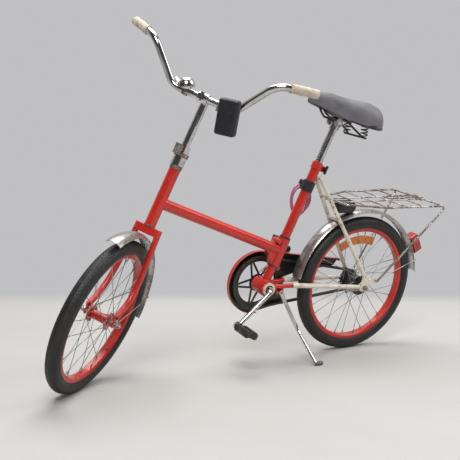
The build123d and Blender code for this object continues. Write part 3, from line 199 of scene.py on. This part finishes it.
def coat(material, *nodes):
    """Gives a finish to nodes of the frame or to new pieces."""
    for piece in nodes:
        mesh = (frame["nodes"][piece] if isinstance(piece, str) else piece).data
        mesh.materials.clear()
        mesh.materials.append(material)


sleeve = Finish("pink_sleeve", Roughness=0.32, Coat_Weight=0.4, IOR=1.46)
strands = sleeve.noise(900, 2)
pink_sleeve = sleeve.wear(
    Base_Color=sleeve.mix(strands.rises(0.4, 0.62), (0.55, 0.16, 0.27), (0.36, 0.09, 0.2)),
    Normal=sleeve.bump(strands, 0.1))
coat(pink_sleeve, cable)
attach(cable, "rear_frame")
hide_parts("lock_coil")

plastic = Finish("black_plastic", Roughness=0.4, IOR=1.5)
grain = plastic.noise(1400, 3)
scuffs = plastic.noise(45, 6, 0.7)
black_plastic = plastic.wear(
    Base_Color=plastic.mix(scuffs.rises(0.55, 0.75), (0.012, 0.012, 0.015), (0.03, 0.029, 0.031)),
    Roughness=0.34 + scuffs * 0.2, Normal=plastic.bump(grain, 0.06))
coat(black_plastic, "lock_bracket")

# ---------------------------------------------------------------- red frame and fork
# Steel tubes brazed into one beam that folds beside the seat tube. Red gloss paint, scuffed on
# the edges, with rust where it is chipped through.



def red_enamel(name, black_inside=0.0):
    """Red gloss with chips; black_inside darkens the faces that look to the bicycle's left."""
    enamel = Finish(name, Coat_Roughness=0.12, IOR=1.5)
    fade = enamel.noise(9, 3)
    grime = enamel.noise(38, 7, 0.68)
    chips = enamel.noise(120, 5, 0.62)
    chipped = chips.rises(0.665, 0.69)
    tone = enamel.mix(fade.rises(0.35, 0.7), (0.56, 0.02, 0.01), (0.45, 0.014, 0.008))
    tone = enamel.mix(grime.rises(0.56, 0.78) * 0.6, tone, (0.2, 0.03, 0.018))
    facing = enamel.node("ShaderNodeTexCoord", {}, {}, "Normal")
    leftward = enamel.node("ShaderNodeSeparateXYZ", {}, {"Vector": facing}, "Y")
    tone = enamel.mix(leftward.rises(0.3, 0.5) * black_inside, tone, (0.016, 0.015, 0.015))
    return enamel.wear(
        Base_Color=enamel.mix(chipped, tone, (0.1, 0.045, 0.025)),
        Roughness=0.3 + grime.rises(0.5, 0.8) * 0.3 + chipped * 0.3,
        Coat_Weight=0.35 - chipped * 0.35,
        Normal=enamel.bump(grime * 0.3 - chipped, 0.15))


red_paint = red_enamel("red_paint")
coat(red_enamel("guard_paint", 1.0), "chain_guard")
coat(red_paint, "main_frame", "fork", "seat_tube", "fold_clamp_bolt", "rear_rim", "front_rim",
     "front_hub", "seat_clamp")

# ---------------------------------------------------------------- cream rear stays
# The rear triangle is brazed from slim tubes in cream enamel, rusty at its chips and joints.
cream = Finish("cream_paint", Coat_Roughness=0.2, IOR=1.5)
stains = cream.noise(22, 7, 0.7)
flakes = cream.noise(85, 6, 0.65)
bare = flakes.rises(0.6, 0.635)
cream_tone = cream.mix(stains.rises(0.48, 0.72) * 0.75, (0.74, 0.69, 0.58), (0.42, 0.3, 0.18))
cream_paint = cream.wear(
    Base_Color=cream.mix(bare, cream_tone, (0.17, 0.075, 0.035)),
    Roughness=0.34 + bare * 0.4, Coat_Weight=0.25 - bare * 0.25,
    Normal=cream.bump(stains * 0.2 - bare, 0.15))
coat(cream_paint, "chain_stays", "seat_stays", "bearing_cups")

# ---------------------------------------------------------------- chromed pieces
# Bent tube and rod with chrome plate, pitted brown in places, and far rustier at the joints. The plate's
# tone carries painted reflection streaks.


def plated(name, pits_from, rust_from, rust_amount):
    """Chrome that turns brown where its pits and its rust patches are, with painted reflection streaks in
    its tone.
    """
    plate = Finish(name, IOR=2.5)
    pits = plate.noise(420, 5, 0.7)
    patches = plate.noise(34, 8, 0.72)
    pitted = pits.rises(pits_from, pits_from + 0.05)
    rusty = patches.rises(rust_from, rust_from + 0.16) * rust_amount
    # painted reflection: broad blotches of lighter and darker plate stand in for reflected light and dark
    # surroundings
    painted_reflection_streaks = plate.noise(14, 5, 0.65).rises(0.35, 0.65)
    tone = plate.mix(pitted * 0.7, plate.mix(painted_reflection_streaks, (0.66, 0.65, 0.65), (0.46, 0.44, 0.43)),
                     (0.16, 0.09, 0.055))
    return plate.wear(
        Base_Color=plate.mix(rusty, tone, (0.13, 0.065, 0.035)),
        Metallic=1.0 - pitted * 0.5 - rusty * 0.45,
        Roughness=0.13 + pitted * 0.3 + rusty * 0.5,
        Normal=plate.bump(pitted * -0.5 + rusty * pits, 0.12))


chrome = plated("chrome", 0.66, 0.56, 0.55)
rusty_chrome = plated("rusty_chrome", 0.56, 0.36, 0.95)
coat(chrome, "handlebar", "seat_post", "kickstand_leg", "crank", "bell_dome", "bell_lever",
     "stem", "headset_nuts")
coat(plated("rack_chrome", 0.58, 0.42, 0.9), "carrier_rack")
coat(rusty_chrome, "headset_cups", "lamp_bracket", "bell_base", "rack_clamp", "kickstand_foot")

# ---------------------------------------------------------------- dark and zinc-plated steel
# Nuts, spokes, chain and hub fittings, blackened by oil or dull with old zinc.


def steel(name, tone, dirt, rough, metal):
    """Plain steel with oily dirt in patches."""
    bare_steel = Finish(name)
    oil = bare_steel.noise(70, 6, 0.65)
    oily = oil.rises(0.42, 0.7)
    return bare_steel.wear(
        Base_Color=bare_steel.mix(oily, tone, dirt), Metallic=metal - oily * 0.3,
        Roughness=rough + oily * 0.2, Normal=bare_steel.bump(oil, 0.1))


zinc_steel = steel("zinc_steel", (0.42, 0.4, 0.38), (0.13, 0.09, 0.06), 0.32, 0.95)
dark_steel = steel("dark_steel", (0.09, 0.08, 0.075), (0.045, 0.03, 0.02), 0.4, 0.9)
spoke_steel = steel("spoke_steel", (0.4, 0.39, 0.38), (0.17, 0.14, 0.11), 0.35, 0.95)
black_paint = steel("black_paint", (0.016, 0.015, 0.015), (0.04, 0.028, 0.022), 0.32, 0.1)
coat(zinc_steel, "rear_axle", "front_axle", "brake_arm", "saddle_clamp", "horn_bracket",
     "right_pedal_cage")
coat(dark_steel, "chain", "rear_sprocket", "thrust_rings", "pedal_axles", "left_pedal_cage")
coat(spoke_steel, "rear_spokes", "front_spokes")
coat(black_paint, "chainring", "rear_hub", "saddle_frame", "saddle_springs")

# ---------------------------------------------------------------- mudguards
# Rolled sheet with a dull, streaky bright plating and road dirt.
sheet = Finish("mudguard_plate")
streaks = sheet.noise(26, 6, 0.66)
spots = sheet.noise(240, 5, 0.7)
spotted = spots.rises(0.6, 0.68)
stained = streaks.rises(0.46, 0.68)
mudguard_plate = sheet.wear(
    Base_Color=sheet.mix(spotted * 0.7, sheet.mix(stained, (0.5, 0.48, 0.46), (0.2, 0.17, 0.15)),
                         (0.12, 0.07, 0.05)),
    Metallic=0.95 - stained * 0.2 - spotted * 0.4, Roughness=0.27 + stained * 0.22,
    Normal=sheet.bump(streaks + spotted * -0.3, 0.3))
coat(mudguard_plate, "rear_mudguard", "front_mudguard")

# ---------------------------------------------------------------- lamps, reflector and horn
# Moulded red and amber lenses in black plastic bodies.


def moulded(name, tone, deep):
    """A clear-coated lens with its colour pooling in uneven patches."""
    lens = Finish(name, Roughness=0.16, Coat_Weight=0.6, Coat_Roughness=0.08, IOR=1.49)
    pools = lens.noise(60, 4)
    return lens.wear(Base_Color=lens.mix(pools.rises(0.4, 0.66), tone, deep),
                     Normal=lens.bump(lens.noise(500, 2), 0.12))


coat(moulded("red_lens", (0.42, 0.018, 0.014), (0.26, 0.012, 0.01)), "tail_lamp", "rack_lamp_lens")
coat(moulded("amber_lens", (0.62, 0.17, 0.006), (0.5, 0.11, 0.004)), "spoke_reflector")
coat(black_plastic, "rack_lamp", "horn_box", "seat_clamp_knob")

# ---------------------------------------------------------------- pedal rubbers and stand foot
# Black rubber blocks, grey with wear, held between the pedals' end plates.
block = Finish("block_rubber", IOR=1.5)
worn = block.noise(60, 6, 0.7)
block_rubber = block.wear(
    Base_Color=block.mix(worn.rises(0.45, 0.7), (0.02, 0.019, 0.018), (0.075, 0.068, 0.06)),
    Roughness=0.6 + worn * 0.25, Normal=block.bump(worn + block.noise(700, 3) * 0.3, 0.3))
coat(block_rubber, "left_pedal_rubbers", "right_pedal_rubbers")

# ---------------------------------------------------------------- tyres
# Black treaded tyres, 20 x 1.75: a round casing with rows of small blocks on its crown and
# fine ribs on its walls. Each sits in its rim by two beads.
tyre_radius, tyre_width = 250.0, 46.0
rim_edge, rim_inside, bead_depth = 210.8, 11.2, 203.2
tread_depth, block_count = 1.5, 126
steps_round, steps_across = 756, 44


def surface(name, rows, closed_along=True, closed_across=True, smooth=True):
    """A mesh over a grid of points, with quads between neighbours, wrapped round if closed."""
    along, across = rows.shape[:2]
    first = np.arange(along if closed_along else along - 1)[:, None]
    second = np.arange(across if closed_across else across - 1)[None, :]
    next_first, next_second = (first + 1) % along, (second + 1) % across
    quads = np.stack([first * across + second, next_first * across + second,
                      next_first * across + next_second, first * across + next_second], axis=-1)
    mesh = bpy.data.meshes.new(name)
    mesh.from_pydata(rows.reshape(-1, 3).tolist(), [], quads.reshape(-1, 4).tolist())
    mesh.polygons.foreach_set("use_smooth", np.full(len(mesh.polygons), smooth))
    piece = bpy.data.objects.new(name, mesh)
    bpy.context.scene.collection.objects.link(piece)
    return piece


def outward(piece):
    """Merges the poles' doubles and turns every face outwards."""
    import bmesh
    work = bmesh.new()
    work.from_mesh(piece.data)
    bmesh.ops.remove_doubles(work, verts=work.verts, dist=1e-6)
    bmesh.ops.recalc_face_normals(work, faces=work.faces)
    work.to_mesh(piece.data)
    work.free()


def tyre(name, joint):
    """Around the wheel by one angle, across the casing by the other. The crown's radius falls
    by the tread's depth in the grooves, which run round at three places and cross in a zigzag."""
    centre, axle = np.array(joint["pos_m"]), np.array(joint["axis"])
    spoke = np.cross(axle, (0.0, 0.0, 1.0))
    spoke /= np.linalg.norm(spoke)
    other = np.cross(axle, spoke)
    tube = tyre_width / 2
    core = tyre_radius - tube
    edge = math.acos((rim_edge - core) / tube)
    across = np.linspace(-edge, edge, steps_across)
    round_angle = np.arange(steps_round) / steps_round * 2 * math.pi
    turn, lay = np.meshgrid(round_angle, across, indexing="ij")
    on_crown = np.clip((0.98 - np.abs(lay)) / 0.12, 0, 1)
    rows = np.abs(lay) / 0.2
    ring_groove = np.clip(1 - np.abs(rows - np.round(rows)) / 0.28, 0, 1) * (np.abs(lay) > 0.1)
    shift = np.round(rows) * 0.5 + 0.22 * np.sin(lay * 4)
    beat = turn / (2 * math.pi) * block_count + shift
    cross_groove = np.clip(1 - np.abs(beat - np.round(beat)) / 0.22, 0, 1) * (np.abs(lay) > 0.16)
    groove = np.maximum(np.minimum(ring_groove * 1.6, 1), np.minimum(cross_groove * 1.6, 1))
    wall_rib = 0.25 * (np.abs(np.abs(lay) - 1.75) < 0.07)
    reach = tube - tread_depth * groove * on_crown - 0.25 + wall_rib
    radius = core + reach * np.cos(lay)
    side = reach * np.sin(lay)
    ends = np.ones((steps_round, 1))
    radius = np.hstack([ends * bead_depth, ends * rim_edge, radius, ends * rim_edge, ends * bead_depth])
    side = np.hstack([ends * -rim_inside, ends * -rim_inside, side, ends * rim_inside, ends * rim_inside])
    way = np.cos(round_angle)[:, None] * spoke + np.sin(round_angle)[:, None] * other
    rows = centre + (radius[..., None] * way[:, None, :] + side[..., None] * axle) / 1000
    piece = surface(name, rows)
    outward(piece)
    return piece


casing = Finish("tyre_rubber", IOR=1.5)
dust = casing.noise(30, 7, 0.7)
dusty = dust.rises(0.48, 0.74)
tyre_rubber = casing.wear(
    Base_Color=casing.mix(dusty, (0.011, 0.0105, 0.0105), (0.036, 0.033, 0.03)),
    Roughness=0.5 + dusty * 0.3, Normal=casing.bump(casing.noise(600, 4), 0.12))
for end in ("rear", "front"):
    casing_piece = tyre(end + "_tyre_tread", joints[end + "_wheel_spin"])
    coat(tyre_rubber, casing_piece)
    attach(casing_piece, end + "_wheel")
    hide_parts(end + "_tyre")

# ---------------------------------------------------------------- saddle
# A wide sprung saddle: grey grained vinyl over foam, moulded on a black plastic base, with a
# slim nose, a dished middle and a broad round tail.
saddle_nose, saddle_top = 300.0, 932.0
stations = np.array([
    # back from the nose, half width, top, lower edge
    (-4, 0.5, -24, -28), (-2, 9, -14, -34), (8, 18, -5, -38), (28, 24, -1, -45),
    (72, 31, 0, -60), (118, 43, -10, -78), (152, 60, -16, -92), (186, 82, -21, -102),
    (220, 95, -25, -109), (246, 93, -31, -111), (264, 75, -40, -108), (274, 46, -52, -102),
    (278, 0.5, -68, -92)])


def through(points, count):
    """A smooth line through given points: between two of them, a cubic set by the slopes of
    their neighbours, taken at even steps of the point number."""
    at = np.linspace(0, len(points) - 1, count)
    low = np.clip(at.astype(int), 0, len(points) - 2)
    t = (at - low)[:, None]
    padded = np.vstack([2 * points[0] - points[1], points, 2 * points[-1] - points[-2]])
    a, b, c, d = (padded[low + k] for k in range(4))
    return 0.5 * (2 * b + (c - a) * t + (2 * a - 5 * b + 4 * c - d) * t ** 2
                  + (3 * b - a - 3 * c + d) * t ** 3)


def saddle_skin(name):
    """Along the saddle by its stations, and over it from edge to edge by an angle: each section
    is the upper half of a superellipse, then the same, smaller, back underneath."""
    line = through(stations, 96)
    back, half, top, low = line.T
    half = np.maximum(half, 0.3)
    arc = np.linspace(0, math.pi, 49)
    squareness = 2 / 2.5
    over = np.sign(np.cos(arc)) * np.abs(np.cos(arc)) ** squareness
    rise = np.sin(arc) ** squareness
    flank = 1 - 0.1 * (1 - rise) ** 2
    outer = np.stack(np.broadcast_arrays(
        (saddle_nose - back)[:, None], half[:, None] * (over * flank),
        saddle_top + low[:, None] + (top - low)[:, None] * rise), axis=-1)
    under_half = np.maximum(half - 7, 0.1)
    under_top = np.maximum(top - 12, low + 0.5)
    inner = np.stack(np.broadcast_arrays(
        (saddle_nose - back)[:, None], under_half[:, None] * (over * flank)[::-1],
        saddle_top + low[:, None] + 1.5 + (under_top - low)[:, None] * rise[::-1]), axis=-1)
    rows = on_frame(np.concatenate([outer, inner], axis=1))
    piece = surface(name, rows, closed_along=False)
    outward(piece)
    return piece


saddle = saddle_skin("saddle_cushion")
vinyl = Finish("saddle_vinyl", IOR=1.5, Sheen_Weight=0.08)
pebbles = vinyl.node("ShaderNodeTexVoronoi", {"feature": "F1"},
                     {"Vector": vinyl.place, "Scale": 900.0})
rubbed = vinyl.noise(16, 4)
soil = vinyl.noise(70, 7, 0.7)
vinyl_tone = vinyl.mix(rubbed.rises(0.38, 0.66), (0.12, 0.117, 0.127), (0.165, 0.16, 0.174))
saddle_vinyl = vinyl.wear(
    Base_Color=vinyl.mix(soil.rises(0.58, 0.8) * 0.6, vinyl_tone, (0.06, 0.055, 0.055)),
    Roughness=0.34 + rubbed * 0.16, Normal=vinyl.bump(pebbles, 0.12))
coat(saddle_vinyl, saddle)
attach(saddle, "saddle")
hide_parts("saddle_cover")

base_line = through(stations, 64)
base_back, base_half, base_top, base_low = base_line[3:-3].T
base_across = np.linspace(-1, 1, 17)
base_mid = np.minimum(base_low + 14, base_top - 8)
base_rows = np.stack(np.broadcast_arrays(
    (saddle_nose - base_back)[:, None], (base_half - 5)[:, None] * base_across,
    saddle_top + (base_low + 3)[:, None]
    + (base_mid - base_low)[:, None] * (1 - base_across ** 2) * 0.6), axis=-1)
base = surface("saddle_base", on_frame(base_rows), closed_along=False, closed_across=False)
thicken = base.modifiers.new("wall", "SOLIDIFY")
thicken.thickness, thicken.offset = 0.003, 0.0
coat(black_plastic, base)
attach(base, "saddle")

# ---------------------------------------------------------------- grips
# Tan moulded sleeves pushed on the bar's ends, ribbed for the hand, with a raised ring at the
# mouth and a rounded closed end.
grip_length, grip_wall, bar_radius = 88.0, 3.0, 11.1
bar_end = np.array([643.309 - 707.309, 313.0, 125.0])
bar_bend = np.array([1.0, 206.0, 121.0])


def grip(name, hand):
    """Along the grip by distance and round it by angle: the radius ripples in ribs, swells to
    the ring at the mouth and closes in a quarter circle at the end."""
    flip = np.array([1, hand, 1])
    way = (bar_bend - bar_end) * flip
    way = way / np.linalg.norm(way)
    start = bar_end * flip - way * 3
    cap = np.linspace(0, 1, 9)
    along = np.concatenate([3.0 * (1 - np.cos(cap * math.pi / 2)), np.linspace(3.4, grip_length, 130)])
    outside = bar_radius + grip_wall
    ribs = 0.45 * np.abs(np.sin((along - 8) * math.pi / 5.6)) * (along > 8) * (along < 76)
    radius = outside - 0.45 + ribs + 2.2 * np.clip(1 - np.abs(along - 85.4) / 2.8, 0, 1) ** 0.5
    closing = np.sqrt(np.clip(1 - (1 - along / 3) ** 2, 0, 1))
    radius = np.where(along < 3.01, (outside - 0.5) * closing, radius)
    along = np.append(along, [grip_length, grip_length - 1])
    radius = np.append(radius, [bar_radius + 0.1, bar_radius + 0.1])
    aside = np.cross(way, (0, 0, 1.0))
    aside /= np.linalg.norm(aside)
    upward = np.cross(aside, way)
    round_angle = np.linspace(0, 2 * math.pi, 48, endpoint=False)
    ring = np.cos(round_angle)[:, None] * aside + np.sin(round_angle)[:, None] * upward
    rows = start + along[:, None, None] * way + radius[:, None, None] * ring
    piece = surface(name, on_bar(rows), closed_along=False)
    outward(piece)
    return piece


sleeve_tan = Finish("grip_plastic", IOR=1.48)
handled = sleeve_tan.noise(50, 7, 0.7)
grip_plastic = sleeve_tan.wear(
    Base_Color=sleeve_tan.mix(handled.rises(0.42, 0.7), (0.6, 0.53, 0.43), (0.36, 0.29, 0.21)),
    Roughness=0.45 + handled * 0.2, Normal=sleeve_tan.bump(handled, 0.2))
grips = [grip("left_grip", 1), grip("right_grip", -1)]
coat(grip_plastic, *grips)
for piece in grips:
    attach(piece, "handlebar")
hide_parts("grips")

# ---------------------------------------------------------------- floor and light
# A pale painted studio floor that runs into a wall of even tone, and wide soft lights. The
# world is that wall's tone ahead and dark behind, so that bright plate has something to show.
wall_tone = (0.53, 0.53, 0.54)
view_ahead = (-0.513, -0.858, 0.0)
floor_size = 14.0
floor_grid = np.linspace(-floor_size, floor_size, 9)
floor_rows = np.stack([*np.meshgrid(floor_grid, floor_grid, indexing="ij"),
                       np.full((9, 9), -0.0006)], axis=-1)
floor = surface("floor", floor_rows, closed_along=False, closed_across=False)
outward(floor)
paint = Finish("floor_paint", Roughness=0.6, Emission_Strength=1.0, Specular_IOR_Level=0.0)
marks = paint.noise(1.2, 6, 0.6)
across = paint.node("ShaderNodeVectorMath", {"operation": "DOT_PRODUCT"},
                    {0: paint.place, 1: view_ahead}, "Value")
beyond = across.rises(1.17, 1.5)
near_tone = paint.mix(marks.rises(0.35, 0.7), (0.5, 0.49, 0.47), (0.47, 0.46, 0.44))
coat(paint.wear(Base_Color=paint.mix(beyond, near_tone, (0.0, 0.0, 0.0)),
                Emission_Color=paint.mix(beyond, (0.0, 0.0, 0.0), wall_tone)), floor)

studio = bpy.data.worlds.new("studio")
studio.use_nodes = True
sky = studio.node_tree
backdrop = sky.nodes["Background"]
heading = sky.nodes.new("ShaderNodeTexCoord")
behind = sky.nodes.new("ShaderNodeVectorMath")
behind.operation = "DOT_PRODUCT"
behind.inputs[1].default_value = [-part for part in view_ahead]
dimming = sky.nodes.new("ShaderNodeMapRange")
dimming.interpolation_type = "SMOOTHSTEP"
dimming.inputs["From Min"].default_value = -0.35
dimming.inputs["From Max"].default_value = 0.3
walls = sky.nodes.new("ShaderNodeMix")
walls.data_type = "RGBA"
walls.inputs[6].default_value = rgb(wall_tone)
walls.inputs[7].default_value = (0.07, 0.07, 0.075, 1.0)
for source, target in ((heading.outputs["Generated"], behind.inputs[0]),
                       (behind.outputs["Value"], dimming.inputs["Value"]),
                       (dimming.outputs["Result"], walls.inputs[0]),
                       (walls.outputs[2], backdrop.inputs["Color"])):
    sky.links.new(source, target)
backdrop.inputs["Strength"].default_value = 1.0
bpy.context.scene.world = studio
aimed_at = Vector((0, 0, 0.4))
for name, place, size, power in (("key", (2.2, 3.4, 4.2), 2.2, 190.0),
                                 ("fill", (-3.2, 2.4, 3.6), 3.0, 80.0),
                                 ("top", (-0.4, -0.8, 4.6), 3.5, 190.0)):
    lamp = bpy.data.objects.new(name, bpy.data.lights.new(name, "AREA"))
    lamp.data.size, lamp.data.energy = size, power
    turned = (Vector(place) - aimed_at).to_track_quat("Z", "Y").to_matrix().to_4x4()
    lamp.matrix_world = Matrix.Translation(place) @ turned
    bpy.context.scene.collection.objects.link(lamp)
bpy.context.scene.view_settings.view_transform = "Standard"
